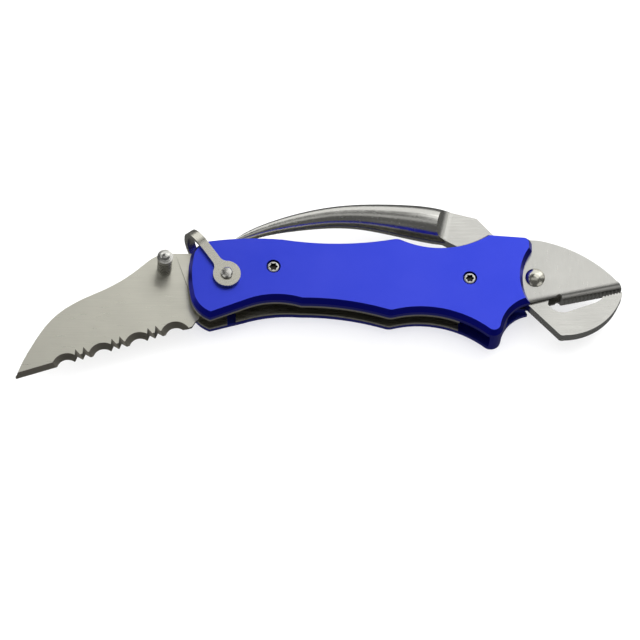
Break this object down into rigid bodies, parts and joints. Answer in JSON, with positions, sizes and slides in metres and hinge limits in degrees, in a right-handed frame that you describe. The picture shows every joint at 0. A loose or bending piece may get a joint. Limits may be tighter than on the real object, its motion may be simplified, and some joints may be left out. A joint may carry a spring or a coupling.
{
  "type": "rigging knife",
  "caption": "Folding rigging knife with a serrated blade, thumb stud, aluminium scales, a marlinspike lever that works gripping jaws, and a lanyard bail",
  "frame": {"origin": "on the blade's pivot axis, halfway through the thickness of the handle", "axes": "+X from the open blade to the jaws, +Y from the cutting edge to the marlinspike, +Z out of the near scale, along every pivot"},
  "size_m": [0.1723, 0.0544, 0.02],
  "materials": {
    "blue_aluminium": "satin blue anodised",
    "liner_steel": "brushed",
    "polished_steel": "polished",
    "pin_steel": "turned",
    "screw_steel": "turned, recessed head",
    "bronze": "smooth bronze",
    "blade_steel": "satin ground",
    "bail_steel": "tumbled and polished",
    "jaw_steel": "brushed"
  },
  "bodies": {
    "handle": {"near_scale": "blue_aluminium", "far_scale": "blue_aluminium", "tail_block": "blue_aluminium", "near_liner": "liner_steel", "far_liner": "liner_steel", "back_spacer": "liner_steel", "spacer_pins": "pin_steel", "stop_pin": "pin_steel", "tail_standoff": "pin_steel", "near_front_screw": "screw_steel", "far_front_screw": "screw_steel", "near_tail_screw": "screw_steel", "far_tail_screw": "screw_steel", "blade_pivot_pin": "pin_steel", "near_pivot_washer": "bronze", "far_pivot_washer": "bronze", "upper_jaw": "jaw_steel", "upper_jaw_pins": "pin_steel", "jaw_rivet": "pin_steel", "near_jaw_washer": "bronze", "far_jaw_washer": "bronze"},
    "blade_body": {"blade": "blade_steel", "thumb_stud": "pin_steel", "thumb_stud_screw": "screw_steel"},
    "lever_body": {"marlinspike_lever": "polished_steel"},
    "bail_body": {"bail": "bail_steel"},
    "lock_bar_body": {"lock_bar": "liner_steel", "detent_ball": "polished_steel"}
  },
  "joints": [
    {"name": "blade_fold", "type": "hinge", "parent": "handle", "child": "blade_body", "pos_m": [0, 0, 0], "axis": [0, 0, 1], "range_deg": [0, 154]},
    {"name": "lever_swing", "type": "hinge", "parent": "handle", "child": "lever_body", "pos_m": [0.088, 0.001, 0], "axis": [0, 0, 1], "range_deg": [-42, 0]},
    {"name": "bail_swing", "type": "hinge", "parent": "handle", "child": "bail_body", "pos_m": [0, 0, 0], "axis": [0, 0, 1], "range_deg": [-40, 15]},
    {"name": "lock_bar_flex", "type": "hinge", "parent": "handle", "child": "lock_bar_body", "pos_m": [0.042, 0, -0.00265], "axis": [0, 1, 0], "range_deg": [-0.7, 0]}
  ]
}
